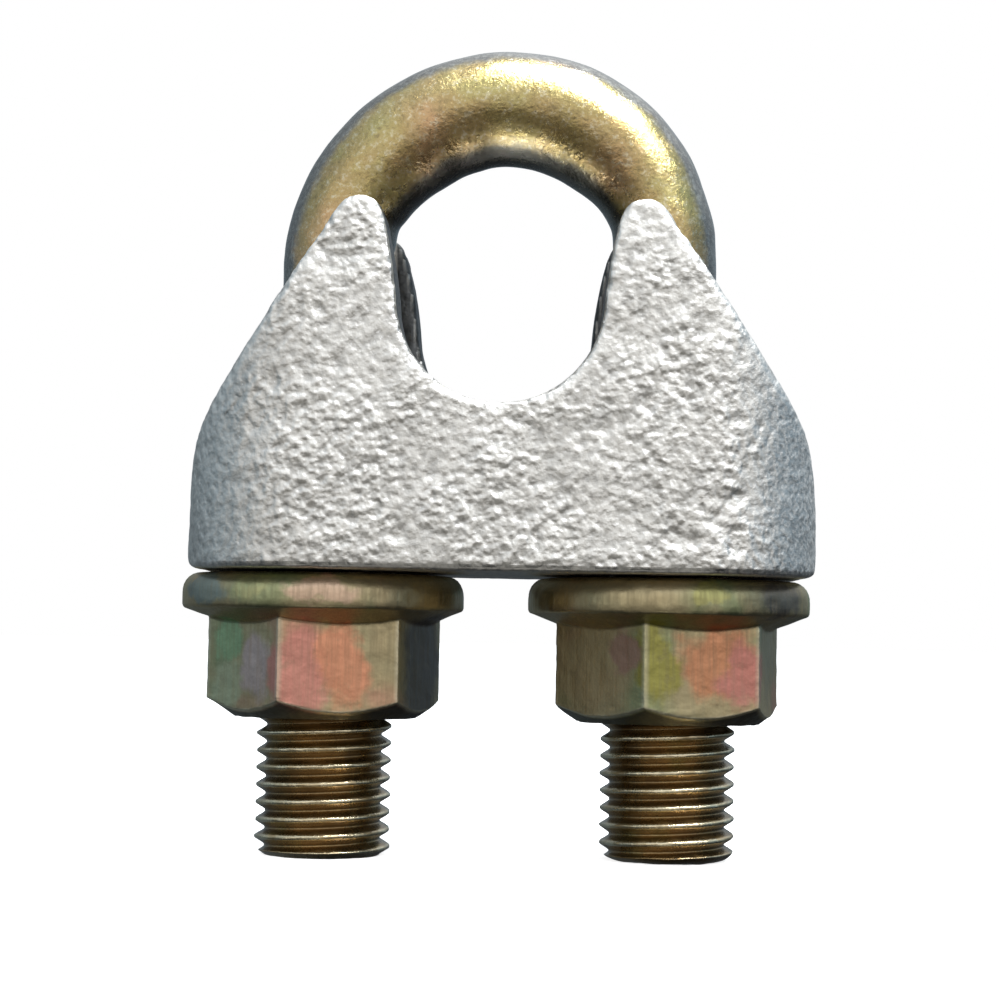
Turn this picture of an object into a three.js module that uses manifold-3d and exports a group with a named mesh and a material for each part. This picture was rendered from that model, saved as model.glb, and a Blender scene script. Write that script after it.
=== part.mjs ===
// Wire rope clip: threaded U-bolt, cast saddle and two hexagon flange nuts.
// Millimetres, +Z up. Leg ends stand on z = 0, the rope runs along Y, the legs are spaced along X.
import * as THREE from 'three';
import { mergeVertices } from 'three/addons/utils/BufferGeometryUtils.js';
import Module from 'manifold-3d';

// U-bolt
const HEIGHT = 96.4;         // leg ends to the top of the bow
const LEG_X = 20.25;         // half of the leg spacing (40.5 centre to centre)
const ROD_R = 7.1;           // plain bar, close to the pitch diameter of the rolled thread
const BOW_Z = HEIGHT - ROD_R - LEG_X;   // centre of the bow
const ROD_SIDES = 28;
const BOW_STEPS = 30;

// Thread M16 x 2, right hand
const PITCH = 2;
const CREST_R = 7.93;
const ROOT_R = 6.78;
const CREST_FLAT = 0.26;     // flat along the crest, in mm
const THREAD_LEN = 44;
const THREAD_STEPS = 20;     // facets in one turn
const THREAD_PLAY = 0.4;     // radial clearance between bolt and nut thread
const END_CHAMFER = 1.3;

// Saddle
const BASE_Z = 33;           // underside, where the flanges bear
const HALF_LEN = 36.9;
const HALF_WIDTH = 19;
const PLAN_R = 14;           // vertical corner rounding
const SEAT_R = 11.7;
const SEAT_Z = 51.9;         // lowest line of the rope seat
const SEAT_FACETS = 15;      // odd, so that the lowest facet is level
const EAR_X = 16.3;
const EAR_Z = 75.2;
const HOLE_R = 8.7;
const SLOT_HALF = 8.3;       // half width of the slot that lets the bow down between the ears
const SLOT_Z = 58;
const SLOT_X = 30;

// Flange nuts
const NUT_TOP = 32.7;        // flange face, 0.3 below the saddle
const NUT_H = 16.7;
const FLATS = 24;
const FLANGE_R = 16.7;
const RIM = 4.2;             // thickness of the flange at its rim
const CONE_DROP = 1.6;       // fall of the flange cone down to the hexagon
const LEFT_TURN = -17.5;     // corner direction of the left nut, degrees from the front
const RIGHT_TURN = -14;

const wasm = await Module();
wasm.setup();
const { Manifold, CrossSection } = wasm;
const rad = (d) => d * Math.PI / 180;

// A manifold solid from rows of vertices and triangle indices.
function solidFrom(points, tris) {
  const mesh = new wasm.Mesh({
    numProp: 3,
    vertProperties: new Float32Array(points.flat()),
    triVerts: new Uint32Array(tris.flat()),
  });
  mesh.merge();
  return new Manifold(mesh);
}

// A right-hand helical thread around Z, from below z0 to above z0 + length.
function helix(crestR, rootR, z0, length) {
  const flank = (PITCH - CREST_FLAT) / 2;
  const radii = [rootR, crestR, crestR];
  const rise = [0, flank, flank + CREST_FLAT];
  const turns = Math.ceil(length / PITCH);
  const per = radii.length;
  const rows = turns * per;
  const points = [];
  for (let i = 0; i < THREAD_STEPS; i++) {
    const a = 2 * Math.PI * i / THREAD_STEPS;
    for (let m = 0; m <= rows + per; m++) {
      const z = z0 + PITCH * (i / THREAD_STEPS + Math.floor(m / per)) + rise[m % per];
      points.push([radii[m % per] * Math.cos(a), radii[m % per] * Math.sin(a), z]);
    }
  }
  const id = (i, m) => (i % THREAD_STEPS) * (rows + per + 1) + m + (i === THREAD_STEPS ? per : 0);
  const tris = [];
  for (let i = 0; i < THREAD_STEPS; i++) {
    for (let m = 0; m < rows; m++) {
      tris.push([id(i, m), id(i + 1, m), id(i + 1, m + 1)], [id(i, m), id(i + 1, m + 1), id(i, m + 1)]);
    }
  }
  const low = points.push([0, 0, z0 + PITCH / 2]) - 1;
  const high = points.push([0, 0, z0 + PITCH * (turns + 0.5)]) - 1;
  for (let i = 0; i < THREAD_STEPS; i++) {
    tris.push([low, id(i + 1, 0), id(i, 0)], [high, id(i, rows), id(i + 1, rows)]);
  }
  for (let k = 0; k < per; k++) {
    tris.push([low, k, k + 1], [high, rows + k + 1, rows + k]);
  }
  return solidFrom(points, tris);
}

// A body of revolution around Z from [radius, z] corners.
function turned(corners, sides) {
  return Manifold.revolve(new CrossSection([corners]), sides);
}

// Flat outline in x and z, drawn out along y from -half to +half.
function prismY(outline, half) {
  return new CrossSection([outline]).extrude(2 * half).rotate([90, 0, 0]).translate([0, half, 0]);
}

function bowTube() {
  const points = [];
  const stations = [];
  stations.push({ x: -LEG_X, z: THREAD_LEN - 4, a: Math.PI });
  for (let i = 0; i <= BOW_STEPS; i++) {
    const a = Math.PI * (1 - i / BOW_STEPS);
    stations.push({ x: LEG_X * Math.cos(a), z: BOW_Z + LEG_X * Math.sin(a), a });
  }
  stations.push({ x: LEG_X, z: THREAD_LEN - 4, a: 0 });
  for (const s of stations) {
    for (let k = 0; k < ROD_SIDES; k++) {
      const t = 2 * Math.PI * k / ROD_SIDES;
      const out = ROD_R * Math.cos(t);
      points.push([s.x + out * Math.cos(s.a), ROD_R * Math.sin(t), s.z + out * Math.sin(s.a)]);
    }
  }
  const tris = [];
  const n = ROD_SIDES;
  for (let j = 0; j + 1 < stations.length; j++) {
    for (let k = 0; k < n; k++) {
      const a = j * n + k, b = j * n + (k + 1) % n;
      tris.push([a, a + n, b + n], [a, b + n, b]);
    }
  }
  const last = (stations.length - 1) * n;
  for (let k = 1; k + 1 < n; k++) {
    tris.push([0, k, k + 1], [last, last + k + 1, last + k]);
  }
  return solidFrom(points, tris);
}

function threadedLeg(side) {
  const thread = helix(CREST_R, ROOT_R, -2 * PITCH, THREAD_LEN + 4 * PITCH);
  const envelope = turned([
    [0, 0], [CREST_R - END_CHAMFER, 0], [CREST_R + 0.1, END_CHAMFER * 0.75],
    [CREST_R + 0.1, THREAD_LEN - 2], [ROOT_R, THREAD_LEN + 0.5], [0, THREAD_LEN + 0.5],
  ], 40);
  return thread.intersect(envelope).translate([side * LEG_X, 0, 0]);
}

function uBolt() {
  return bowTube().add(threadedLeg(-1)).add(threadedLeg(1));
}

// Right half of the saddle's side view, from the seat out to the underside.
function saddleOutline() {
  const half = [];
  const step = Math.PI / SEAT_FACETS;
  for (let i = 0; i <= (SEAT_FACETS - 1) / 2; i++) {
    const a = step * (i + 0.5);
    const r = SEAT_R / Math.cos(step / 2);
    half.push([r * Math.sin(a), SEAT_Z + SEAT_R - r * Math.cos(a)]);
  }
  half.push(
    [SEAT_R + 0.8, 69], [EAR_X - 2.9, 72.9], [EAR_X - 1.6, 74.6], [EAR_X, EAR_Z],
    [EAR_X + 1.3, 74.7], [EAR_X + 2.4, 73.2], [25.9, 63.2],
    [33.6, 51.8], [35.3, 48.6], [36.1, 45.6], [HALF_LEN - 0.3, 41.5],
    [HALF_LEN, BASE_Z + 2], [HALF_LEN - 0.4, BASE_Z + 0.7], [HALF_LEN - 1.4, BASE_Z],
  );
  const mirrored = half.map(([x, z]) => [-x, z]).reverse();
  return [...half, ...mirrored].reverse();
}

function planOutline() {
  const c = [];
  for (const [sx, sy, start] of [[1, 1, 0], [-1, 1, 90], [-1, -1, 180], [1, -1, 270]]) {
    for (let i = 0; i <= 8; i++) {
      const a = rad(start + 90 * i / 8);
      c.push([sx * (HALF_LEN - PLAN_R) + PLAN_R * Math.cos(a), sy * (HALF_WIDTH - PLAN_R) + PLAN_R * Math.sin(a)]);
    }
  }
  return c;
}

function saddle() {
  const plan = new CrossSection([planOutline()]).extrude(HEIGHT);
  const slot = Manifold.cube([2 * SLOT_X, 2 * SLOT_HALF, HEIGHT]).translate([-SLOT_X, -SLOT_HALF, SLOT_Z]);
  let body = prismY(saddleOutline(), HALF_WIDTH).intersect(plan).subtract(slot);
  for (const side of [-1, 1]) {
    body = body.subtract(Manifold.cylinder(HEIGHT, HOLE_R, HOLE_R, 32).translate([side * LEG_X, 0, 0]));
  }
  return body;
}

function hexagon(turn) {
  const corner = FLATS / 2 / Math.cos(rad(30));
  const points = [];
  for (let i = 0; i < 6; i++) {
    const a = rad(-90 + turn + 60 * i);
    points.push([corner * Math.cos(a), corner * Math.sin(a)]);
  }
  return new CrossSection([points]).extrude(NUT_H - 0.5);
}

function flangeNut(side, turn) {
  const foot = NUT_TOP - NUT_H;
  const corner = FLATS / 2 / Math.cos(rad(30));
  const chamfer = turned([
    [0, foot], [FLATS / 2 - 1.3, foot], [corner + 0.3, foot + 2.2], [corner + 0.3, NUT_TOP], [0, NUT_TOP],
  ], 36);
  const hex = hexagon(turn).translate([0, 0, foot]).intersect(chamfer);
  const flange = turned([
    [0, NUT_TOP - RIM - CONE_DROP], [FLATS / 2, NUT_TOP - RIM - CONE_DROP], [FLANGE_R - 0.4, NUT_TOP - RIM],
    [FLANGE_R, NUT_TOP - RIM + 0.5], [FLANGE_R, NUT_TOP - 2], [FLANGE_R - 0.5, NUT_TOP - 0.9],
    [FLANGE_R - 1.5, NUT_TOP], [0, NUT_TOP],
  ], 40);
  const bore = helix(CREST_R + THREAD_PLAY, ROOT_R + THREAD_PLAY, -2 * PITCH, NUT_TOP + 4 * PITCH)
    .intersect(turned([[0, foot - 2], [20, foot - 2], [20, NUT_TOP + 2], [0, NUT_TOP + 2]], 8));
  const mouths = turned([
    [0, foot - 1], [CREST_R + 1.6, foot - 1], [CREST_R + 0.6, foot], [ROOT_R, foot + 1.2],
    [ROOT_R, NUT_TOP - 1.2], [CREST_R + 0.6, NUT_TOP], [CREST_R + 1.6, NUT_TOP + 1], [0, NUT_TOP + 1],
  ], 32);
  return hex.add(flange).subtract(bore).subtract(mouths).translate([side * LEG_X, 0, 0]);
}

function meshOf(solid, name, colour, roughness, metalness) {
  const data = solid.getMesh();
  const flat = new Float32Array(data.numVert * 3);
  for (let i = 0; i < data.numVert; i++) {
    for (let k = 0; k < 3; k++) flat[3 * i + k] = data.vertProperties[i * data.numProp + k];
  }
  let geometry = new THREE.BufferGeometry();
  geometry.setAttribute('position', new THREE.BufferAttribute(flat, 3));
  geometry.setIndex(new THREE.BufferAttribute(new Uint32Array(data.triVerts), 1));
  geometry = mergeVertices(geometry, 1e-5);
  const mesh = new THREE.Mesh(geometry, new THREE.MeshStandardMaterial({ color: colour, roughness, metalness }));
  mesh.name = name;
  return mesh;
}

const clip = new THREE.Group();
clip.name = 'wire_rope_clip';
clip.add(meshOf(uBolt(), 'u_bolt', 0x9c8848, 0.35, 1));
clip.add(meshOf(saddle(), 'saddle', 0xc4c6c6, 0.45, 1));
clip.add(meshOf(flangeNut(-1, LEFT_TURN), 'flange_nut_left', 0xa98f5a, 0.35, 1));
clip.add(meshOf(flangeNut(1, RIGHT_TURN), 'flange_nut_right', 0xa98f5a, 0.35, 1));

export default clip;
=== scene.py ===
"""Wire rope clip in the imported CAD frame: a bent bar, a cast saddle and two flange nuts.

Each CAD node is replaced by one finished mesh. Sizes are in millimetres until a mesh is made; the
lights, the floor and the bumps' distances are in metres.
"""
import math

import bmesh
import bpy
import numpy as np
from mathutils import Matrix, Vector


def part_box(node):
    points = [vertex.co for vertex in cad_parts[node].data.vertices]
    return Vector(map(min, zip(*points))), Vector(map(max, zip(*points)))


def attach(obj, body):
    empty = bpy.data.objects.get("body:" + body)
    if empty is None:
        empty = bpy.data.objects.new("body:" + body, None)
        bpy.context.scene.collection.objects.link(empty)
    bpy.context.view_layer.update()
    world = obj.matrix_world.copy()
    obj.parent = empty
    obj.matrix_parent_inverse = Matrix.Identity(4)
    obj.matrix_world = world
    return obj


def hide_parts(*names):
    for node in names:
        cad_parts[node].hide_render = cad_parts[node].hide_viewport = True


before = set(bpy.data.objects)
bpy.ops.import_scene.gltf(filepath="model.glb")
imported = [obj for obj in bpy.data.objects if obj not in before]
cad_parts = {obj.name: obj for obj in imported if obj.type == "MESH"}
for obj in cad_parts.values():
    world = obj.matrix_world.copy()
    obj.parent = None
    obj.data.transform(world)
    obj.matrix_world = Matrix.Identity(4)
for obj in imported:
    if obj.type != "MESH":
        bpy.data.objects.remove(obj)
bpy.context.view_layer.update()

# ------------------------------------------------------------------ sizes, in millimetres
MM = 0.001


def corners_mm(node):
    """Lowest and highest corner of a CAD node, in millimetres."""
    return [[round(v / MM, 2) for v in corner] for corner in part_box(node)]


BAR_HIGH = corners_mm("u_bolt")[1]
SADDLE_LOW, SADDLE_HIGH = corners_mm("saddle")
NUT_LOW, NUT_HIGH = corners_mm("flange_nut_right")

# bar
HEIGHT = BAR_HIGH[2]
LEG_X = round((NUT_LOW[0] + NUT_HIGH[0]) / 2, 2)
ROD_R = 7.1
BOW_Z = HEIGHT - ROD_R - LEG_X

# thread, M16 x 2, right hand
PITCH = 2.0
CREST_R = 7.9
ROOT_R = 6.78
CREST_HALF = 0.14            # half width of the crest
FLANK_END = 0.90             # from the middle of the crest to where the flank meets the root
ROUNDING = 0.22              # share of the flank that is a cosine curve, the rest being straight
RUN_OUT = (42.0, 44.4)       # heights between which the thread fades into the plain bar

# saddle
BASE_Z = SADDLE_LOW[2]
HALF_LEN = SADDLE_HIGH[0]
HALF_WIDTH = SADDLE_HIGH[1]
EAR_Z = SADDLE_HIGH[2]
EAR_X = 16.3
EAR_TIP_R = 2.95
PLAN_R = 14.0                # upright corners
SEAT_R = 11.7                # rope seat
SEAT_Z = 51.9
HOLE_R = 8.7                 # leg holes
SLOT_HALF = 8.3              # slot that lets the bow down between the ears
SLOT_Z = 58.0
SLOT_X = 30.0
BASE_ROUND = 1.2             # lower edge of the ends
TALL = 120                   # a height above everything, for the cutting shapes

# nuts
NUT_TOP = NUT_HIGH[2]
FOOT = NUT_LOW[2]
RIM = 4.2
CONE_DROP = 1.6
FLATS = 24.0
FLANGE_R = NUT_HIGH[1] - 0.05
THREAD_PLAY = 0.42


# ------------------------------------------------------------------ seeded noise on arrays
def lattice(ix, iy, iz, seed):
    """A fixed number from -1 to 1 for each whole-number point."""
    code = ix * 374761393 + iy * 668265263 + iz * 2147483647 + seed * 1274126177
    code = (code ^ (code >> 13)) * 1274126177
    code = code & 0xFFFFFFFF
    code = code ^ (code >> 16)
    return (code & 0xFFFF) / 65535.0 * 2 - 1


def noise3(points, seed):
    """Smooth noise from -1 to 1 at each row of points, on a lattice one unit wide."""
    base = np.floor(points).astype(np.int64)
    part = points - base
    part = part * part * part * (part * (part * 6 - 15) + 10)
    total = 0.0
    for corner in np.ndindex(2, 2, 2):
        wx, wy, wz = (part[:, k] if far else 1 - part[:, k] for k, far in enumerate(corner))
        ix, iy, iz = (base + corner).T
        total = total + wx * wy * wz * lattice(ix, iy, iz, seed)
    return total


def smooth(start, end, x):
    """A smooth step from 0 at start to 1 at end."""
    part = np.clip((x - start) / (end - start), 0, 1)
    return part * part * (3 - 2 * part)


# ------------------------------------------------------------------ mesh helpers
def link_object(name, data):
    obj = bpy.data.objects.new(name, data)
    bpy.context.scene.collection.objects.link(obj)
    return obj


def shade_smooth(mesh):
    mesh.polygons.foreach_set("use_smooth", [True] * len(mesh.polygons))


def object_from(name, verts_mm, faces):
    """An object whose mesh is made from vertices in millimetres."""
    mesh = bpy.data.meshes.new(name)
    mesh.from_pydata((np.asarray(verts_mm) * MM).tolist(), [], faces)
    mesh.validate()
    mesh.update()
    shade_smooth(mesh)
    return link_object(name, mesh)


def ring_faces(rows, cols):
    """Quads between successive closed rings of cols vertices."""
    start = np.arange(rows - 1)[:, None] * cols
    here = np.arange(cols)[None, :]
    after = (here + 1) % cols
    quads = np.stack([start + here, start + after, start + cols + after, start + cols + here], -1)
    return quads.reshape(-1, 4).tolist()


def vectors_of(items, field):
    """One row of an array for each vector in a mesh's collection."""
    flat = np.empty(len(items) * 3, dtype=np.float32)
    items.foreach_get(field, flat)
    return flat.reshape(-1, 3).astype(float)


def add_attribute(obj, name, values):
    attribute = obj.data.attributes.new(name, "FLOAT", "POINT")
    attribute.data.foreach_set("value", np.asarray(values, dtype=np.float32))


def apply_modifiers(obj):
    """Put the evaluated mesh in place of the object's mesh and drop its modifiers."""
    depsgraph = bpy.context.evaluated_depsgraph_get()
    depsgraph.update()
    mesh = bpy.data.meshes.new_from_object(obj.evaluated_get(depsgraph), depsgraph=depsgraph)
    old = obj.data
    obj.modifiers.clear()
    obj.data = mesh
    bpy.data.meshes.remove(old)


# ------------------------------------------------------------------ thread
def thread_radius(theta, z, crest, root):
    """Radius of the right-hand thread at the angle theta and the height z."""
    along = np.mod(z - PITCH * theta / (2 * math.pi), PITCH)
    from_crest = np.abs(along - PITCH / 2)
    rise = np.clip((FLANK_END - from_crest) / (FLANK_END - CREST_HALF), 0, 1)
    rise = (1 - ROUNDING) * rise + ROUNDING * (0.5 - 0.5 * np.cos(math.pi * rise))
    return root + (crest - root) * rise


def up_the_flank(radius):
    """0 at the root of the bar's thread and 1 at its crest."""
    return (radius - ROOT_R) / (CREST_R - ROOT_R)


# ------------------------------------------------------------------ U-bolt
BAR_SIDES = 96
OUTWARD = np.arange(BAR_SIDES) * 2 * math.pi / BAR_SIDES    # angle round the bar from its outer side
BOW_STEPS = 150
END_SHRINKS = (0.02, 0.35, 0.7, 0.92)                       # rings of an end face, from the middle out
SQUEEZE = (46, 66)                                          # heights over which BEND sets in on the legs
RIM_PAINT_HEIGHTS = (46, 64)                                            # heights over which the painted reflection and painted shade on the bar's sides set in
LEFT_END = (6.75, 1.35, 0.9)                                # radius of the end, its gain, over what height
RIGHT_END = (5.7, 2.3, 2.0)
END_CREST = 0.7                                             # "crest" of the end faces
PLAIN_CREST = 0.75                                          # "crest" of the plain bar

# How the bar was squeezed in bending: the angle in degrees from the right-hand spring line, then
# how far its outer line and its inner line lie outside the true half circle, in mm.
BEND = (
    (0, -1.75, 0.45),
    (20, -1.2, 0.45),
    (36, -0.5, 0.5),
    (52, 0.0, 0.45),
    (70, 0.2, 0.35),
    (90, 0.0, 0.3),
    (108, -0.3, 0.0),
    (125, -0.55, -0.2),
    (145, -0.7, -0.25),
    (162, -0.75, 0.35),
    (180, -0.8, 0.5),
)
BEND_SPREAD = 9.0                                           # degrees over which one row of BEND acts


def bent(out, degrees, amount=1.0):
    """Distance from the bar's centre line, with the outer and inner sides moved as BEND says."""
    weight = [math.exp(-((degrees - row[0]) / BEND_SPREAD) ** 2) for row in BEND]
    outer = sum(w * row[1] for w, row in zip(weight, BEND)) / sum(weight)
    inner = sum(w * row[2] for w, row in zip(weight, BEND)) / sum(weight)
    side = 0.5 + 0.5 * out / ROD_R
    return out + amount * (inner + (outer - inner) * side)


def leg_levels():
    """Heights of a leg's rings: closest at its end and in the thread that shows in some pose."""
    end = np.linspace(0, 1.8, 25)[:-1]
    shown = np.arange(1.8, 28, 0.1)
    covered = np.arange(28, 45, 0.2)
    plain = np.arange(45.5, BOW_Z, 1.0)
    return np.concatenate([end, shown, covered, plain])


def crest_wear(side, theta, z):
    """Unevenness of the rolled crests in mm, different on each leg."""
    total = 0
    for spread, rise, seed in ((3, 0.9, 5), (9, 2.2, 6)):
        place = [np.cos(theta) * spread + side * 9, np.sin(theta) * spread, np.full(BAR_SIDES, z * rise)]
        total = total + 0.05 * noise3(np.stack(place, 1), seed)
    return total


def end_limit(side, z):
    """Largest radius near a leg's end: a short chamfer on the left, a rounded end on the right."""
    radius, gain, height = LEFT_END if side < 0 else RIGHT_END
    risen = min(z / height, 1)
    if side < 0:
        return radius + gain * risen
    return radius + gain * math.sqrt(max(0, 1 - (1 - risen) ** 2.2))


def leg_ring(side, z):
    """One ring of a leg: its points, how near the crest each one is, and how threaded it is."""
    theta = math.pi - OUTWARD if side < 0 else OUTWARD
    level = np.full(BAR_SIDES, z)
    radius = thread_radius(theta, level, CREST_R, ROOT_R)
    radius = radius + up_the_flank(radius) * crest_wear(side, theta, z)
    plain = smooth(*RUN_OUT, z)
    radius = radius * (1 - plain) + ROD_R * plain
    radius = np.minimum(radius, end_limit(side, z))
    across = bent(radius * np.cos(OUTWARD), 0 if side > 0 else 180, smooth(*SQUEEZE, z))
    points = np.stack([side * (LEG_X + across), radius * np.sin(theta), level], 1)
    if z < 1.0:
        sawn = 0.05 * noise3(points * 0.8, 9)
        points[:, 2] = np.maximum(level + sawn, 0.0)
    crest = np.clip(up_the_flank(radius), 0, 1)
    threaded = np.full(BAR_SIDES, 1.0 - plain)
    return points, np.where(threaded > 0.5, crest, PLAIN_CREST), threaded


def end_ring(side, shrink):
    """The leg's lowest ring, flattened and drawn in towards its middle."""
    points, _, threaded = leg_ring(side, 0.0)
    middle = np.array([side * LEG_X, 0, 0.0])
    points = middle + (points - middle) * shrink
    points[:, 2] = 0.0
    return points, np.full(BAR_SIDES, END_CREST), threaded


def bow_ring(angle):
    """One ring of the bow, flattened on its inside where it was pressed round the former."""
    from_leg = math.degrees(min(angle, math.pi - angle))
    pressed = smooth(13, 26, from_leg) * (1 - smooth(32, 58, from_leg))
    inner = np.clip(-np.cos(OUTWARD), 0, 1) ** 1.5
    radius = ROD_R - 0.6 * pressed * inner
    out = LEG_X + bent(radius * np.cos(OUTWARD), math.degrees(angle))
    points = np.stack([out * math.cos(angle), radius * np.sin(OUTWARD), BOW_Z + out * math.sin(angle)], 1)
    return points, np.full(BAR_SIDES, PLAIN_CREST), np.zeros(BAR_SIDES)


def uneven(verts, plain):
    """The bar with its plain stretches pushed in and out a little, square to its centre line."""
    line = np.zeros_like(verts)
    line[:, 0] = np.sign(verts[:, 0]) * LEG_X
    line[:, 2] = verts[:, 2]
    high = verts[:, 2] > BOW_Z
    angle = np.arctan2(verts[high, 2] - BOW_Z, verts[high, 0])
    line[high, 0] = LEG_X * np.cos(angle)
    line[high, 2] = BOW_Z + LEG_X * np.sin(angle)
    outward = verts - line
    length = np.maximum(np.linalg.norm(outward, axis=1, keepdims=True), 1e-6)
    swell = noise3(verts * 0.28, 21) * 0.05 + noise3(verts * 0.9, 22) * 0.018
    return verts + outward / length * (swell * plain)[:, None]


def build_u_bolt():
    """The whole bar as one closed skin, from the left leg's end round the bow to the right one's."""
    levels = leg_levels()
    rings = [end_ring(-1, shrink) for shrink in END_SHRINKS]
    rings += [leg_ring(-1, z) for z in levels]
    rings += [bow_ring(math.pi * (1 - i / BOW_STEPS)) for i in range(BOW_STEPS + 1)]
    rings += [leg_ring(1, z) for z in levels[::-1]]
    rings += [end_ring(1, shrink) for shrink in END_SHRINKS[::-1]]
    verts, crest, threaded = (np.concatenate(part) for part in zip(*rings))
    outer = np.tile(np.cos(OUTWARD), len(rings))
    # mask for the painted grey reflection outside the bend and the painted dark shade inside it, fading out
    # down the legs
    across = outer * (1 - threaded) * (0.5 + 0.5 * smooth(*RIM_PAINT_HEIGHTS, verts[:, 2]))
    faces = ring_faces(len(rings), BAR_SIDES)
    last = (len(rings) - 1) * BAR_SIDES
    faces.append(list(range(BAR_SIDES))[::-1])
    faces.append([last + k for k in range(BAR_SIDES)])
    obj = object_from("bent_bar", uneven(verts, 1 - threaded), faces)
    add_attribute(obj, "crest", crest)
    add_attribute(obj, "threaded", threaded)
    add_attribute(obj, "across", across)
    return obj


# ------------------------------------------------------------------ saddle
# x and z up the inner side of an ear, and down the sloping shoulder behind it to the upright end
EAR_SIDE = ((SEAT_R + 0.35, 66.5), (SEAT_R + 0.85, 69.5), (EAR_X - 3.15, 72.2))
SHOULDER = ((25.9, 63.35), (33.4, 52.2), (34.9, 49.6), (35.9, 46.8), (36.3, 44.5))
LEFT_SHIFT = 0.7             # how far the casting's ends lie to the right of the CAD's
RIGHT_SHIFT = 0.15
LEFT_DRAFT = 1.1             # how far the walls of the rope channel close in at the back
RIGHT_DRAFT = 0.6
VOXEL = 0.44
RELAX_STEPS = 16


def arc(cx, cy, radius, start, end, steps):
    """Points along an arc, with its angles in degrees."""
    angles = [math.radians(start + (end - start) * i / steps) for i in range(steps + 1)]
    return [(cx + radius * math.cos(a), cy + radius * math.sin(a)) for a in angles]


def prism(name, outline, axis, low, high):
    """An outline drawn out along an axis: (x, z) points along "y", or (x, y) points along "z"."""
    bm = bmesh.new()
    rows = []
    for level in (low, high):
        places = [(a, level, b) if axis == "y" else (a, b, level) for a, b in outline]
        rows.append([bm.verts.new([c * MM for c in place]) for place in places])
    near, far = rows
    bm.faces.new(near)
    bm.faces.new(far[::-1])
    for i in range(len(outline)):
        j = (i + 1) % len(outline)
        bm.faces.new([near[j], near[i], far[i], far[j]])
    bmesh.ops.recalc_face_normals(bm, faces=bm.faces)
    mesh = bpy.data.meshes.new(name)
    bm.to_mesh(mesh)
    bm.free()
    return link_object(name, mesh)


def boolean(obj, other, kind):
    """Cut an object by another one, which is used up."""
    modifier = obj.modifiers.new(kind, "BOOLEAN")
    modifier.operation = kind
    modifier.solver = "EXACT"
    modifier.object = other
    apply_modifiers(obj)
    bpy.data.objects.remove(other)


def saddle_outline():
    """Front outline: half of it from the seat over the ear and down the end, then its mirror image."""
    half = arc(0, SEAT_Z + SEAT_R, SEAT_R, -90, 0, 16)
    half += EAR_SIDE
    half += arc(EAR_X - 0.1, EAR_Z - 2.75, EAR_TIP_R, 165, 32, 8)
    half += [*SHOULDER, (HALF_LEN - 0.25, 41), (HALF_LEN, BASE_Z + 2.2)]
    half += arc(HALF_LEN - BASE_ROUND, BASE_Z + BASE_ROUND, BASE_ROUND, 0, -90, 4)
    return half + [(-x, z) for x, z in half[::-1] if x > 1e-6]


def plan_outline():
    """Top outline: a block with four round corners."""
    plan = []
    for sx, sy, start in ((1, 1, 0), (-1, 1, 90), (-1, -1, 180), (1, -1, 270)):
        plan += arc(sx * (HALF_LEN - PLAN_R), sy * (HALF_WIDTH - PLAN_R), PLAN_R, start, start + 90, 16)
    return plan


def cut_saddle():
    """The casting with sharp edges: its body, the slot for the bow and the two leg holes."""
    obj = prism("cast_saddle", saddle_outline(), "y", -HALF_WIDTH, HALF_WIDTH)
    boolean(obj, prism("plan", plan_outline(), "z", 0, TALL), "INTERSECT")
    slot = [(-SLOT_X, SLOT_Z), (-SLOT_X, TALL), (SLOT_X, TALL), (SLOT_X, SLOT_Z)]
    boolean(obj, prism("slot", slot, "y", -SLOT_HALF, SLOT_HALF), "DIFFERENCE")
    for side in (-1, 1):
        hole = arc(side * LEG_X, 0, HOLE_R, 0, 360, 64)[:-1]
        boolean(obj, prism("hole", hole, "z", 0, TALL), "DIFFERENCE")
    return obj


def round_edges(obj):
    """Remesh finely and relax, which rounds every edge as a casting's are."""
    remesh = obj.modifiers.new("remesh", "REMESH")
    remesh.mode = "VOXEL"
    remesh.voxel_size = VOXEL * MM
    apply_modifiers(obj)
    relax = obj.modifiers.new("relax", "SMOOTH")
    relax.factor = 0.5
    relax.iterations = RELAX_STEPS
    apply_modifiers(obj)


def skin_strength(points, normals):
    """How coarse the cast skin is: 1 on the front and back, less at the ends and in every hollow."""
    x, y, z = points.T
    in_slot = (np.abs(y) < SLOT_HALF + 0.8) & (z > SLOT_Z - 1)
    in_bore = np.minimum(np.hypot(x - LEG_X, y), np.hypot(x + LEG_X, y)) < HOLE_R + 0.9
    in_seat = (np.abs(x) < SEAT_R + 1.5) & (np.abs(normals[:, 1]) < 0.6) & (z > SEAT_Z - 1)
    strength = 1 - 0.45 * smooth(24, 33, np.abs(x))
    strength[in_slot] = 0.5
    strength[in_seat] = 0.32
    strength[z < BASE_Z + 0.6] = 0.4
    strength[in_bore] = 0.15
    return strength


def cast_skin(points):
    """Height of the cast skin in mm, and the pattern for the painted shade in its hollows."""
    warped = points + 0.6 * noise3(points * 0.4, 31)[:, None]
    pebbles = noise3(warped * 0.95 + 3.7, 32)
    grains = noise3(warped * 1.5 + 8.1, 33)
    swells = noise3(warped * 0.2 + 1.1, 34)
    creases = 1 - np.abs(noise3(warped * 0.45 + 5.5, 35)) * 2
    holes = smooth(0.66, 0.85, noise3(points * 0.4 + 13.3, 36))
    height = 0.06 * pebbles + 0.035 * grains + 0.12 * swells - 0.05 * smooth(0.75, 1.0, creases)
    pattern = 0.9 * pebbles + 0.7 * grains - 0.5 * smooth(0.5, 1, creases)
    return height - 0.22 * holes, pattern


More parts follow.
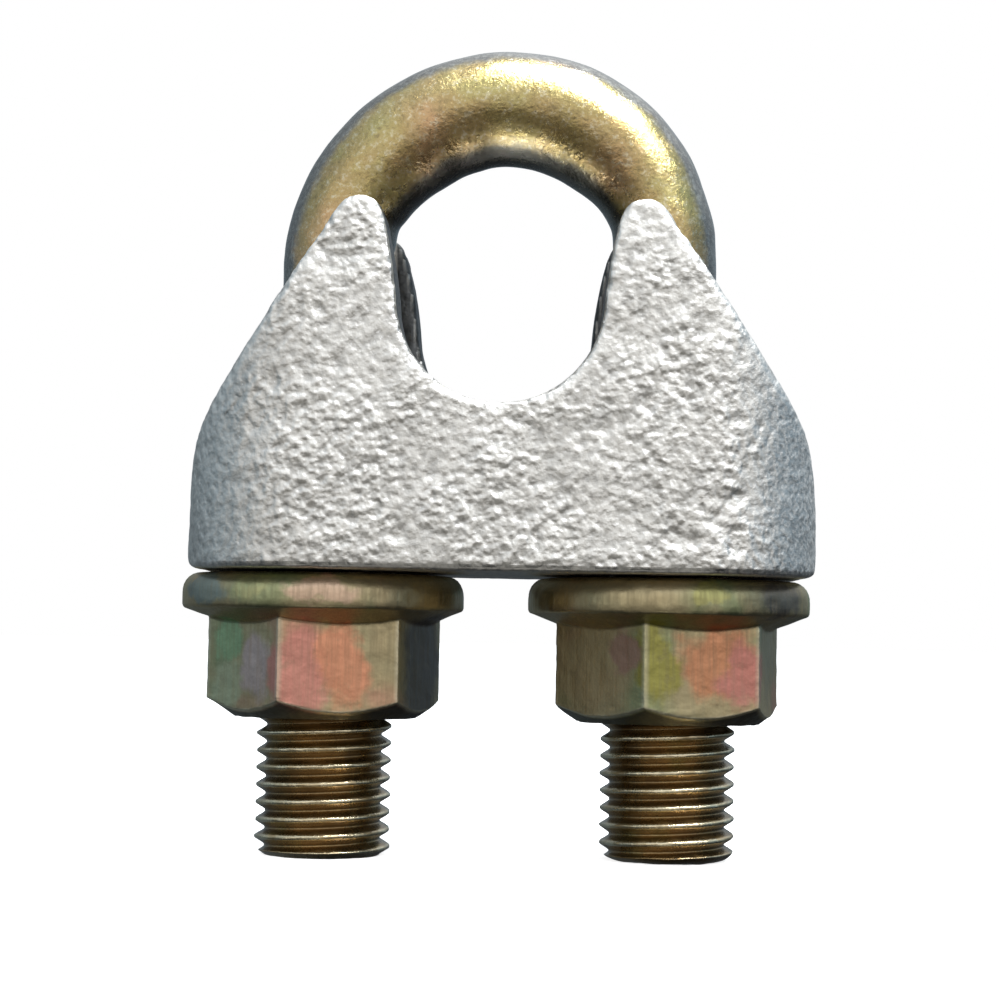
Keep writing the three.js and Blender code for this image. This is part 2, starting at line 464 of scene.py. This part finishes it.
def cast_shift(points):
    """How far along X the real casting differs from the CAD: its ends, and the draft of its channel."""
    x, y, z = points.T
    ends = LEFT_SHIFT * smooth(12, 34, -x) + RIGHT_SHIFT * smooth(12, 34, x)
    channel = (1 - smooth(SEAT_R + 0.6, EAR_X, np.abs(x))) * smooth(SEAT_Z + 1, SEAT_Z + 8, z)
    draft = np.where(x < 0, LEFT_DRAFT, -RIGHT_DRAFT) * channel * smooth(6, 9, y)
    return ends, draft


def channel_wall_shade(points, normals):
    """1 on the upright faces inside the rope channel, which are painted dark as a painted reflection of
    dark surroundings.
    """
    x, y, z = points.T
    steep_x = smooth(0.62, 0.88, np.abs(normals[:, 0]))
    steep_y = smooth(0.62, 0.88, np.abs(normals[:, 1]))
    walls = np.maximum(steep_x, steep_y) * (np.abs(x) < SEAT_R + 2.6) * (np.abs(y) < HALF_WIDTH - 0.6)
    return walls * smooth(SEAT_Z + 1, SEAT_Z + 4, z)


def build_saddle():
    """The finished casting: cut, rounded, and given its skin."""
    obj = cut_saddle()
    round_edges(obj)
    mesh = obj.data
    points = vectors_of(mesh.vertices, "co") / MM
    normals = vectors_of(mesh.vertex_normals, "vector")
    strength = skin_strength(points, normals)
    height, pattern = cast_skin(points)
    placed = points + normals * (height * strength)[:, None]
    for shift in cast_shift(points):
        placed[:, 0] += shift
    mesh.vertices.foreach_set("co", (placed * MM).astype(np.float32).ravel())
    shade_smooth(mesh)
    mesh.update()
    # painted shade in the hollows of the skin
    add_attribute(obj, "hollow", np.clip(0.5 - pattern * strength * 0.6, 0, 1))
    add_attribute(obj, "skin", strength)
    # mask for the painted dark reflection on the rope channel's walls
    add_attribute(obj, "wall_shade", channel_wall_shade(points, normals))
    return obj


# ------------------------------------------------------------------ flange nut
CONE_TOP = NUT_TOP - RIM
CONE_FOOT = CONE_TOP - CONE_DROP
PER_FACE = 32                # columns on each face of the hexagon
CORNER_POWER = 240           # the higher, the sharper the hexagon's corners
CHAMFER_R = 10.7             # where the foot's chamfer starts
CHAMFER_RISE = 0.66          # rise of the chamfer for each mm outwards
CONE_R = 12.0                # radius at the foot of the flange's cone
CORNER_R = (13.6, 13.76)     # radii between which a corner begins
LIP_WIDTH = 0.24             # painted highlight line between a flat and the chamfer
CHAMFER_SOFT = 0.05          # rounding where the flats meet the chamfer
CONE_SOFT = 0.22             # rounding where the flats meet the cone
MOUTH = 0.95                 # how far the bore opens past its thread at both ends
FOOT_RINGS = (9.0, 9.5, 10.1, 10.45)

# Edge of the flange, from the cone over the rim to the bore: in from the rim, down from the face.
FLANGE_EDGE = (
    (0.28, RIM - 0.06),
    (0.1, RIM - 0.22),
    (0.0, RIM - 0.5),
    (0.0, 3.0),
    (0.0, 2.4),
    (0.02, 1.9),
    (0.12, 1.45),
    (0.35, 0.95),
    (0.7, 0.52),
    (1.15, 0.2),
    (1.6, 0.05),
    (2.1, 0.0),
    (4.0, 0.0),
    (6.2, 0.0),
    (7.6, 0.0),
)


def rounding(first, second, softness):
    """How far to round off the crossing of two radii: most where they meet, less away from it."""
    return softness * np.exp(-np.abs(first - second) / softness) * 0.5


class NutRings:
    """Rings of one nut, each with its edge wear and painted highlight, and with how far it faces the ground
    for the painted shade.
    """

    def __init__(self, side, turn):
        spread = 30 * np.sin(math.pi / 2 * np.linspace(-1, 1, PER_FACE, endpoint=False))
        facing = [-60 + turn + 60 * k for k in range(6)]
        self.side = side
        self.theta = np.radians(np.concatenate([spread + angle for angle in facing]))
        self.cols = len(self.theta)
        flat = sum(np.clip(np.cos(self.theta - math.radians(angle)), 0.01, 1) ** CORNER_POWER
                   for angle in facing)
        self.hexagon = FLATS / 2 / flat ** (1 / CORNER_POWER)
        self.rows = []
        self.wear_and_highlight = []
        self.under = []

    def add(self, radius, z, wear_and_highlight=0.0, under=0.0):
        radius = np.broadcast_to(radius, (self.cols,)).astype(float)
        z = np.broadcast_to(z, (self.cols,)).astype(float)
        x = self.side * LEG_X + radius * np.cos(self.theta)
        self.rows.append(np.stack([x, radius * np.sin(self.theta), z], 1))
        self.wear_and_highlight.append(np.broadcast_to(wear_and_highlight, (self.cols,)))
        self.under.append(np.broadcast_to(under, (self.cols,)))

    def add_bore(self):
        """The threaded bore from the flange's face down, and the flat foot round it."""
        for z in np.linspace(NUT_TOP - 0.02, FOOT + 0.02, 110):
            level = np.full(self.cols, z)
            radius = thread_radius(self.theta, level, CREST_R + THREAD_PLAY, ROOT_R + THREAD_PLAY)
            from_end = min(z - FOOT, NUT_TOP - z)
            # painted shade inside the bore
            self.add(np.maximum(radius, CREST_R + MOUTH - from_end * 0.9), z, under=0.6)
        for radius in FOOT_RINGS:
            # painted shade on the flat foot, which faces the ground
            self.add(radius, FOOT, under=1.0)

    def add_sides(self):
        """The hexagon with its chamfered foot, running into the cone under the flange."""
        chamfered = np.linspace(FOOT, FOOT + 2.6, 40)
        upright = np.linspace(FOOT + 3.2, CONE_FOOT - 1.2, 12)
        flared = np.linspace(CONE_FOOT - 0.9, CONE_TOP, 32)
        for z in np.concatenate([chamfered, upright, flared]):
            chamfer = CHAMFER_R + (z - FOOT) / CHAMFER_RISE
            flare = CONE_R + (z - CONE_FOOT) / (CONE_TOP - CONE_FOOT) * (FLANGE_R - 0.45 - CONE_R)
            side_r = np.minimum(self.hexagon, chamfer) - rounding(self.hexagon, chamfer, CHAMFER_SOFT)
            radius = np.maximum(side_r, flare) + rounding(side_r, flare, CONE_SOFT)
            # painted highlights along the hexagon's corners and the line where the flats meet the chamfer,
            # whose values also add knocks in forged(); painted shade where the chamfer faces the ground
            corner = smooth(*CORNER_R, self.hexagon) * (chamfer > self.hexagon) * (flare < self.hexagon)
            lip = np.exp(-((self.hexagon - chamfer) / LIP_WIDTH) ** 2)
            self.add(radius, z, np.maximum(0.6 * corner, lip), smooth(0.2, 0.6, self.hexagon - chamfer))

    def add_flange(self):
        """The rim of the flange and its bearing face."""
        for inward, down in FLANGE_EDGE:
            self.add(FLANGE_R - inward, NUT_TOP - down)

    def faces(self):
        """Quads between the rings, with the last ring joined to the first."""
        last = (len(self.rows) - 1) * self.cols
        closing = [[last + k, last + (k + 1) % self.cols, (k + 1) % self.cols, k] for k in range(self.cols)]
        return ring_faces(len(self.rows), self.cols) + closing


def forged(verts, side, wear_and_highlight, offset, off_centre):
    """The nut with a forging's knocks and waves, and with its flange moved off centre along X."""
    local = verts - np.array([side * LEG_X, 0, 0])
    outward = local * np.array([1, 1, 0])
    outward /= np.maximum(np.linalg.norm(outward, axis=1, keepdims=True), 1e-6)
    radius = np.hypot(local[:, 0], local[:, 1])
    shell = smooth(9.5, 10.5, radius)
    wave = 0.03 * noise3(local * 0.5 + offset, 41) + 0.02 * noise3(local * 1.6 + offset, 42)
    wave = wave + wear_and_highlight * 0.06 * np.minimum(noise3(local * 2.2 + offset, 43), 0.1)
    wave = wave + 0.09 * smooth(14, 16, radius) * np.minimum(noise3(local * 0.8 + offset, 44), 0.2)
    verts = verts + outward * (wave * shell)[:, None]
    verts[:, 0] += off_centre * smooth(12.6, 15.4, radius)
    below_face = local[:, 2] < NUT_TOP - 0.3
    verts[:, 2] += 0.05 * shell * noise3(local * 0.7 + offset + 5, 45) * below_face
    return verts


def build_nut(name, side, turn, offset, off_centre):
    """One nut with its flange and its threaded bore, on the leg at side."""
    rings = NutRings(side, turn)
    rings.add_bore()
    rings.add_sides()
    rings.add_flange()
    wear_and_highlight = np.concatenate(rings.wear_and_highlight)
    verts = forged(np.concatenate(rings.rows), side, wear_and_highlight, offset, off_centre)
    obj = object_from(name, verts, rings.faces())
    bm = bmesh.new()
    bm.from_mesh(obj.data)
    bmesh.ops.recalc_face_normals(bm, faces=bm.faces)
    bm.to_mesh(obj.data)
    bm.free()
    # painted highlights and wear on the edges
    add_attribute(obj, "edge", wear_and_highlight)
    # how far each part is painted dark as painted shade underneath
    add_attribute(obj, "underside_shade", np.concatenate(rings.under))
    return obj


# ------------------------------------------------------------------ shader nodes
def opaque(colour):
    """A plain colour with its alpha added; a socket stays as it is."""
    return (*colour, 1) if isinstance(colour, tuple) else colour


class Tree:
    """Short names for making the nodes of a material or of the world."""

    def __init__(self, tree):
        self.tree = tree
        self.tree.nodes.clear()

    def node(self, kind, **settings):
        node = self.tree.nodes.new(kind)
        for name, value in settings.items():
            setattr(node, name, value)
        return node

    def link(self, output, socket):
        self.tree.links.new(output, socket)

    def put(self, socket, value):
        """Link a socket to another one, or give it a value; None leaves it alone."""
        if isinstance(value, bpy.types.NodeSocket):
            self.link(value, socket)
        elif value is not None:
            socket.default_value = value

    def math(self, operation, a, b=None, c=None):
        node = self.node("ShaderNodeMath", operation=operation)
        for socket, value in zip(node.inputs, (a, b, c)):
            self.put(socket, value)
        return node.outputs[0]

    def remap(self, value, start, end, low=0.0, high=1.0):
        """A smooth step from low at start to high at end."""
        node = self.node("ShaderNodeMapRange", interpolation_type="SMOOTHSTEP")
        for socket, given in zip(node.inputs, (value, start, end, low, high)):
            self.put(socket, given)
        return node.outputs[0]

    def mix(self, factor, first, second):
        node = self.node("ShaderNodeMix", data_type="RGBA")
        self.put(node.inputs[0], factor)
        self.put(node.inputs[6], opaque(first))
        self.put(node.inputs[7], opaque(second))
        return node.outputs[2]

    def ramp(self, factor, stops):
        node = self.node("ShaderNodeValToRGB")
        elements = node.color_ramp.elements
        while len(elements) < len(stops):
            elements.new(0.5)
        for element, (position, colour) in zip(elements, stops):
            element.position = position
            element.color = opaque(colour)
        self.put(node.inputs[0], factor)
        return node.outputs[0]

    def coords(self, scale=(1, 1, 1), move=(0, 0, 0)):
        """Object coordinates, scaled and moved."""
        mapping = self.node("ShaderNodeMapping")
        self.link(self.node("ShaderNodeTexCoord").outputs["Object"], mapping.inputs["Vector"])
        mapping.inputs["Scale"].default_value = scale
        mapping.inputs["Location"].default_value = move
        return mapping.outputs[0]

    def noise(self, vector, scale, detail=3, rough=0.5, distort=0.0, output="Fac"):
        node = self.node("ShaderNodeTexNoise")
        self.link(vector, node.inputs["Vector"])
        node.inputs["Scale"].default_value = scale
        node.inputs["Detail"].default_value = detail
        node.inputs["Roughness"].default_value = rough
        node.inputs["Distortion"].default_value = distort
        return node.outputs[output]

    def attribute(self, name):
        return self.node("ShaderNodeAttribute", attribute_name=name).outputs["Fac"]

    def bump(self, height, strength, distance, normal=None):
        """A bump node, its distance in metres, laid over another one's normal if there is one."""
        node = self.node("ShaderNodeBump")
        node.inputs["Strength"].default_value = strength
        node.inputs["Distance"].default_value = distance
        self.link(height, node.inputs["Height"])
        self.put(node.inputs["Normal"], normal)
        return node.outputs[0]


def metal(name):
    """A new metallic material with its tree and its shader."""
    mat = bpy.data.materials.new(name)
    mat.use_nodes = True
    tree = Tree(mat.node_tree)
    output = tree.node("ShaderNodeOutputMaterial")
    shader = tree.node("ShaderNodeBsdfPrincipled")
    shader.inputs["Metallic"].default_value = 1.0
    tree.link(shader.outputs[0], output.inputs[0])
    return mat, tree, shader


# ------------------------------------------------------------------ bar material
OLIVE_TO_ROSE = (
    (0.34, (0.56, 0.48, 0.19)),
    (0.45, (0.54, 0.41, 0.165)),
    (0.55, (0.58, 0.405, 0.18)),
    (0.66, (0.68, 0.43, 0.22)),
)
# darker colour of the thread's grooves, a painted shade
GROOVE_SHADE_BROWN = (
    (0.35, (0.26, 0.17, 0.07)),
    (0.55, (0.36, 0.235, 0.095)),
    (0.7, (0.32, 0.25, 0.10)),
)


def plain_bar_colour(tree, blotches):
    """Olive to gold with fine specks, with a painted grey reflection outside the bend and painted dark
    shade inside it.
    """
    colour = tree.ramp(tree.noise(tree.coords(), 95, 3, 0.55, 0.4), OLIVE_TO_ROSE)
    specks = tree.noise(tree.coords(move=(0.7, 0.3, 0.2)), 1500, 3, 0.7)
    colour = tree.mix(tree.remap(blotches, 0.35, 0.75, 0.0, 0.35), colour, (0.34, 0.27, 0.14))
    colour = tree.mix(tree.remap(specks, 0.50, 0.72, 0.0, 0.6), colour, (0.86, 0.80, 0.60))
    colour = tree.mix(tree.remap(specks, 0.48, 0.30, 0.0, 0.6), colour, (0.25, 0.19, 0.09))
    # ragged edges of the painted reflection and the painted shade on the bar's sides
    ragged = tree.noise(tree.coords(move=(0.1, 0.8, 0.5)), 260, 5, 0.7)
    edge = tree.math("MULTIPLY_ADD", ragged, 0.36, tree.attribute("across"))
    painted_rim_grey = tree.mix(tree.remap(specks, 0.42, 0.66), (0.22, 0.23, 0.24), (0.44, 0.45, 0.44))
    # painted reflection: speckled grey on the outer side of the bend
    colour = tree.mix(tree.remap(edge, 0.81, 0.99, 0.0, 0.9), colour, painted_rim_grey)
    # painted shade: near black on the inner side of the bend
    return tree.mix(tree.remap(edge, -0.42, -0.66, 0.0, 0.9), colour, (0.075, 0.08, 0.08))


def thread_colour(tree, blotches):
    """Darker brown gold in the grooves as painted shade, and bright on the crests, partly wear and partly
    painted highlight.
    """
    groove = tree.ramp(tree.noise(tree.coords(), 160, 2, 0.5), GROOVE_SHADE_BROWN)
    wear_and_highlight = tree.mix(tree.remap(blotches, 0.4, 0.7), (0.88, 0.78, 0.55), (0.62, 0.48, 0.27))
    # painted highlight and wear on the crests, painted shade in the grooves
    return tree.mix(tree.remap(tree.attribute("crest"), 0.66, 0.92), groove, wear_and_highlight)


def bar_material():
    """Yellow passivated zinc on round bar and rolled thread."""
    mat, tree, shader = metal("zinc_bar")
    blotches = tree.noise(tree.coords(move=(0.3, 0.1, 0.7)), 420, 4, 0.6)
    plain = plain_bar_colour(tree, blotches)
    thread = thread_colour(tree, blotches)
    tree.link(tree.mix(tree.attribute("threaded"), plain, thread), shader.inputs["Base Color"])
    shader.inputs["Coat Weight"].default_value = 0.62
    shader.inputs["Coat IOR"].default_value = 1.55
    shader.inputs["Coat Roughness"].default_value = 0.16
    tree.link(tree.remap(blotches, 0.3, 0.75, 0.21, 0.36), shader.inputs["Roughness"])
    pits = tree.noise(tree.coords(move=(0.9, 0.2, 0.4)), 2300, 3, 0.65)
    dents = tree.noise(tree.coords(move=(0.5, 0.6, 0.1)), 700, 2, 0.5, 0.4)
    normal = tree.bump(dents, 0.22, 0.00022, tree.bump(pits, 0.42, 0.00018))
    tree.link(normal, shader.inputs["Normal"])
    return mat


# ------------------------------------------------------------------ saddle material
PALE_ZINC = (
    (0.3, (0.81, 0.80, 0.77)),
    (0.5, (0.87, 0.86, 0.83)),
    (0.7, (0.93, 0.92, 0.89)),
)
# grey of the painted shade in the skin's hollows
HOLLOW_SHADE_GREY = (0.40, 0.40, 0.39)


def saddle_colour(tree, pebbles):
    """Pale zinc with painted shade in the hollows, bright specks as painted glints, and a painted dark
    reflection on the channel's walls.
    """
    colour = tree.ramp(tree.noise(tree.coords(), 150, 4, 0.6), PALE_ZINC)
    # painted shade in the low spots of the pebbles and in the hollows of the skin
    low = tree.math("MULTIPLY", tree.remap(pebbles, 0.50, 0.28), 0.35)
    colour = tree.mix(low, colour, HOLLOW_SHADE_GREY)
    hollow = tree.remap(tree.attribute("hollow"), 0.6, 1.0, 0.0, 0.35)
    colour = tree.mix(hollow, colour, HOLLOW_SHADE_GREY)
    # painted glints: near white specks over the skin
    specks = tree.remap(tree.noise(tree.coords(move=(0.2, 0.5, 0.3)), 2300, 1, 0.5), 0.70, 0.76)
    colour = tree.mix(tree.math("MULTIPLY", specks, 0.7), colour, (0.98, 0.98, 0.98))
    # painted reflection: near black on the channel's walls
    return tree.mix(tree.math("MULTIPLY", tree.attribute("wall_shade"), 0.95), colour, (0.05, 0.055, 0.06))


def saddle_material():
    """Galvanised malleable casting: pale matt metal with a pebbled skin."""
    mat, tree, shader = metal("galvanised_cast")
    pebbles = tree.noise(tree.coords(), 1020, 0.6, 0.5)
    grain = tree.noise(tree.coords(), 2500, 2, 0.5)
    tree.link(saddle_colour(tree, pebbles), shader.inputs["Base Color"])
    tree.link(tree.remap(grain, 0.3, 0.7, 0.36, 0.54), shader.inputs["Roughness"])
    patchy = tree.remap(tree.noise(tree.coords(move=(0.4, 0.3, 0.8)), 130, 2, 0.5), 0.35, 0.62, 0.45, 1.0)
    lift = tree.math("MULTIPLY", pebbles, tree.math("MULTIPLY", tree.attribute("skin"), patchy))
    normal = tree.bump(grain, 0.45, 0.00012, tree.bump(lift, 1.0, 0.00040))
    tree.link(normal, shader.inputs["Normal"])
    return mat


# ------------------------------------------------------------------ nut material
ZINC_ON_NUT = (
    (0.32, (0.42, 0.46, 0.26)),
    (0.44, (0.58, 0.50, 0.30)),
    (0.58, (0.60, 0.49, 0.29)),
    (0.70, (0.68, 0.42, 0.28)),
)
RAGGED = 6.0                 # how far the edges of the tint patches wander, in mm

# Interference tints on the faces that show, and one painted shade: centre and half sizes in mm, colour.
TINTS_AND_SHADE = {
    "left": (
        ((-22.2, -12.9, 21.8), (4.0, 3.6, 5.4), (0.90, 0.38, 0.32)),
        ((-17.4, -12.0, 22.4), (3.2, 3.4, 5.0), (1.00, 0.44, 0.27)),
        ((-27.6, -10.0, 21.8), (3.6, 3.0, 3.8), (0.74, 0.57, 0.54)),
        ((-31.2, -6.0, 25.0), (2.4, 2.6, 2.6), (0.42, 0.60, 0.34)),
        ((-31.4, -6.0, 19.4), (3.2, 3.0, 3.2), (0.62, 0.64, 0.42)),
        # painted shade on the left nut's right face, between the nuts
        ((-8.6, -3.4, 22.0), (3.8, 7.0, 8.5), (0.16, 0.15, 0.15)),
        ((-33.4, -9.5, 30.8), (4.0, 6.0, 1.9), (0.34, 0.39, 0.36)),
        ((-27.0, -13.0, 30.8), (3.4, 4.0, 1.8), (0.58, 0.58, 0.30)),
        ((-19.8, -16.4, 30.8), (4.4, 3.0, 1.5), (0.86, 0.62, 0.46)),
    ),
    "right": (
        ((18.3, -13.2, 22.8), (2.9, 2.5, 5.0), (0.45, 0.42, 0.11)),
        ((25.6, -11.0, 23.4), (5.3, 4.4, 4.4), (0.80, 0.36, 0.20)),
        ((28.6, -10.2, 22.0), (3.0, 3.0, 4.0), (0.76, 0.31, 0.27)),
        ((14.6, -11.4, 24.0), (3.0, 2.5, 2.8), (0.52, 0.33, 0.27)),
        ((24.0, -15.5, 31.0), (2.4, 2.5, 1.6), (0.60, 0.58, 0.24)),
        # a darker patch at the right end of the flange
        ((32.6, -10.6, 30.6), (4.2, 5.0, 2.2), (0.30, 0.25, 0.21)),
    ),
}


def tinted_and_shaded(tree, colour, which):
    """A colour with the soft-edged patches of one nut laid over it: its tints, and on the left nut a
    painted shade.
    """
    place = tree.node("ShaderNodeTexCoord").outputs["Object"]
    wander = tree.node("ShaderNodeVectorMath", operation="MULTIPLY_ADD")
    tree.link(tree.noise(place, 210, 5, 0.6, output="Color"), wander.inputs[0])
    wander.inputs[1].default_value = (RAGGED * MM,) * 3
    tree.link(place, wander.inputs[2])
    for centre, size, tint in TINTS_AND_SHADE[which]:
        patch = tree.node("ShaderNodeMapping", vector_type="TEXTURE")
        tree.link(wander.outputs[0], patch.inputs["Vector"])
        patch.inputs["Location"].default_value = [(c + RAGGED / 2) * MM for c in centre]
        patch.inputs["Scale"].default_value = [c * MM for c in size]
        distance = tree.node("ShaderNodeVectorMath", operation="LENGTH")
        tree.link(patch.outputs[0], distance.inputs[0])
        mask = tree.remap(distance.outputs["Value"], 1.15, 0.70, 0.0, 0.9)
        colour = tree.mix(mask, colour, tint)
    return colour


def nut_material(name, which, move):
    """Yellow passivated zinc with pink, orange and green tints and upright draw lines, painted highlights
    on its edges and painted shade underneath.
    """
    mat, tree, shader = metal(name)
    lines = tree.noise(tree.coords(scale=(1, 1, 0.06), move=move), 2600, 3, 0.6)
    blots = tree.noise(tree.coords(move=move), 520, 4, 0.65)
    colour = tree.ramp(tree.noise(tree.coords(move=move), 95, 2, 0.45, 0.5), ZINC_ON_NUT)
    colour = tinted_and_shaded(tree, colour, which)
    colour = tree.mix(tree.remap(blots, 0.55, 0.75, 0.0, 0.35), colour, (0.34, 0.29, 0.19))
    colour = tree.mix(tree.remap(lines, 0.35, 0.7, 0.0, 0.22), colour, (0.40, 0.34, 0.22))
    # painted highlight along the corners and the chamfer line
    colour = tree.mix(tree.math("MULTIPLY", tree.attribute("edge"), 0.8), colour, (0.90, 0.84, 0.64))
    # painted shade on the underside, the chamfer and in the bore
    colour = tree.mix(tree.math("MULTIPLY", tree.attribute("underside_shade"), 0.85), colour, (0.10, 0.09, 0.07))
    tree.link(colour, shader.inputs["Base Color"])
    tree.link(tree.remap(lines, 0.3, 0.7, 0.30, 0.48), shader.inputs["Roughness"])
    waves = tree.noise(tree.coords(move=move), 380, 3, 0.55)
    normal = tree.bump(waves, 0.35, 0.00030, tree.bump(lines, 0.25, 0.00008))
    tree.link(normal, shader.inputs["Normal"])
    return mat


# ------------------------------------------------------------------ camera
def make_camera():
    """Camera at the photograph's angle, in front of the clip and a little below its middle."""
    camera = bpy.data.cameras.new("camera")
    camera.lens = 83.4
    camera.sensor_width = 36.0
    camera.shift_x = -0.007
    camera.shift_y = -0.11
    camera.clip_start = 0.01
    camera.clip_end = 50
    yaw, pitch, roll = -0.01396, 0.10541, 0.01728
    place = Vector((4.44, -276.28, 26.01)) * MM
    forward = Vector((math.sin(yaw) * math.cos(pitch), math.cos(yaw) * math.cos(pitch), math.sin(pitch)))
    level_right = Vector((math.cos(yaw), -math.sin(yaw), 0))
    level_up = level_right.cross(forward)
    right = math.cos(roll) * level_right + math.sin(roll) * level_up
    up = -math.sin(roll) * level_right + math.cos(roll) * level_up
    turn = Matrix((right, up, -forward)).transposed()
    obj = link_object("camera", camera)
    obj.matrix_world = Matrix.Translation(place) @ turn.to_4x4()
    bpy.context.scene.camera = obj


# ------------------------------------------------------------------ studio
NADIR = (0.02, 0.02, 0.02)
ZENITH = (0.85, 0.90, 0.95)

# What surrounds the clip on each side, from straight down at 0, over the horizon at 0.5, to straight
# up at 1. Each band starts from NADIR and ends at ZENITH.
BANDS = {
    "front": (
        (0.20, (0.12, 0.115, 0.10)),
        (0.40, (0.17, 0.16, 0.145)),
        (0.49, (0.60, 0.58, 0.54)),
        (0.56, (0.85, 0.83, 0.80)),
        (0.75, (0.80, 0.82, 0.84)),
    ),
    "left": (
        (0.40, (0.06, 0.075, 0.085)),
        (0.49, (0.20, 0.26, 0.30)),
        (0.54, (0.30, 0.37, 0.42)),
        (0.80, (0.38, 0.45, 0.50)),
    ),
    "right": (
        (0.40, (0.025, 0.036, 0.046)),
        (0.49, (0.08, 0.12, 0.155)),
        (0.55, (0.19, 0.28, 0.36)),
        (0.80, (0.50, 0.60, 0.68)),
    ),
    "back": (
        (0.40, (0.05, 0.06, 0.07)),
        (0.485, (0.10, 0.13, 0.155)),
        (0.54, (0.15, 0.20, 0.24)),
        (0.70, (0.42, 0.47, 0.51)),
        (0.86, (0.95, 0.98, 1.0)),
    ),
}


def surroundings(tree):
    """Colour of the surroundings in each direction, for light and reflections."""
    parts = tree.node("ShaderNodeSeparateXYZ")
    tree.link(tree.node("ShaderNodeTexCoord").outputs["Generated"], parts.inputs[0])
    x, y, z = parts.outputs
    up = tree.math("MULTIPLY_ADD", z, 0.5, 0.5)
    front, left, right, back = (
        tree.ramp(up, ((0.0, NADIR), *BANDS[name], (1.0, ZENITH)))
        for name in ("front", "left", "right", "back")
    )
    # the back is darker towards the left
    back = tree.mix(tree.remap(x, 0.05, -0.45, 0.0, 0.75), back, (0.12, 0.15, 0.17))
    # a pale patch on the ground just in front
    patch = tree.math("MULTIPLY", tree.remap(up, 0.20, 0.10), tree.remap(up, 0.01, 0.05))
    patch = tree.math("MULTIPLY", patch, tree.remap(tree.math("ABSOLUTE", x), 0.38, 0.12))
    front = tree.mix(patch, front, (0.80, 0.78, 0.72))
    sides = tree.mix(tree.remap(x, -0.35, 0.35), left, right)
    glow = tree.mix(tree.remap(y, -0.25, -0.75), sides, front)
    return tree.mix(tree.remap(y, 0.25, 0.55), glow, back)


def make_world():
    """White behind the clip, with the surroundings to light it."""
    world = bpy.data.worlds.new("studio")
    bpy.context.scene.world = world
    world.use_nodes = True
    tree = Tree(world.node_tree)
    output = tree.node("ShaderNodeOutputWorld")
    soft = tree.node("ShaderNodeBackground")
    tree.link(surroundings(tree), soft.inputs["Color"])
    white = tree.node("ShaderNodeBackground")
    white.inputs["Color"].default_value = (1, 1, 1, 1)
    choice = tree.node("ShaderNodeMixShader")
    tree.link(tree.node("ShaderNodeLightPath").outputs["Is Camera Ray"], choice.inputs[0])
    tree.link(soft.outputs[0], choice.inputs[1])
    tree.link(white.outputs[0], choice.inputs[2])
    tree.link(choice.outputs[0], output.inputs[0])


def make_key_light():
    """A soft rectangular light above, to the front and right."""
    place = Vector((0.15, -0.14, 0.50))
    target = Vector((0, 0, 0.06))
    light = bpy.data.lights.new("key", "AREA")
    light.energy = 5.5
    light.shape = "RECTANGLE"
    light.size = 0.22
    light.size_y = 0.36
    obj = link_object("key", light)
    obj.location = place
    obj.rotation_euler = (target - place).to_track_quat("-Z", "Y").to_euler()


def make_floor():
    """A wide pale disc that the clip stands on, which adds nothing to its light."""
    bm = bmesh.new()
    bmesh.ops.create_circle(bm, cap_ends=True, radius=6.0, segments=96)
    mesh = bpy.data.meshes.new("floor")
    bm.to_mesh(mesh)
    bm.free()
    floor = link_object("floor", mesh)
    mat = bpy.data.materials.new("pale_floor")
    mat.use_nodes = True
    tree = Tree(mat.node_tree)
    output = tree.node("ShaderNodeOutputMaterial")
    diffuse = tree.node("ShaderNodeBsdfDiffuse")
    diffuse.inputs["Color"].default_value = (0.9, 0.9, 0.9, 1)
    emission = tree.node("ShaderNodeEmission")
    emission.inputs["Color"].default_value = (1, 1, 1, 1)
    emission.inputs["Strength"].default_value = 0.82
    total = tree.node("ShaderNodeAddShader")
    tree.link(diffuse.outputs[0], total.inputs[0])
    tree.link(emission.outputs[0], total.inputs[1])
    tree.link(total.outputs[0], output.inputs[0])
    mesh.materials.append(mat)
    floor.visible_glossy = False
    floor.visible_diffuse = False


# ------------------------------------------------------------------ the scene
bpy.context.scene.view_settings.view_transform = "Standard"
make_camera()
make_world()
make_key_light()
make_floor()

bar = build_u_bolt()
bar.data.materials.append(bar_material())
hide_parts("u_bolt")
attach(bar, "bolt")

cast = build_saddle()
cast.data.materials.append(saddle_material())
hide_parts("saddle")
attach(cast, "bridge")

# for each nut its side, the turn of its hexagon in degrees, its place in the noise, and how far its
# flange is off centre in mm
NUTS = (
    ("left", -1, -17.5, 3.0, -0.5),
    ("right", 1, -14.0, 11.0, 0.0),
)
for which, side, turn, offset, off_centre in NUTS:
    nut = build_nut("hexagon_nut_" + which, side, turn, offset, off_centre)
    move = (0.13 * offset, 0.07 * offset, 0.02 * offset)
    nut.data.materials.append(nut_material("zinc_nut_" + which, which, move))
    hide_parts("flange_nut_" + which)
    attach(nut, "nut_" + which)
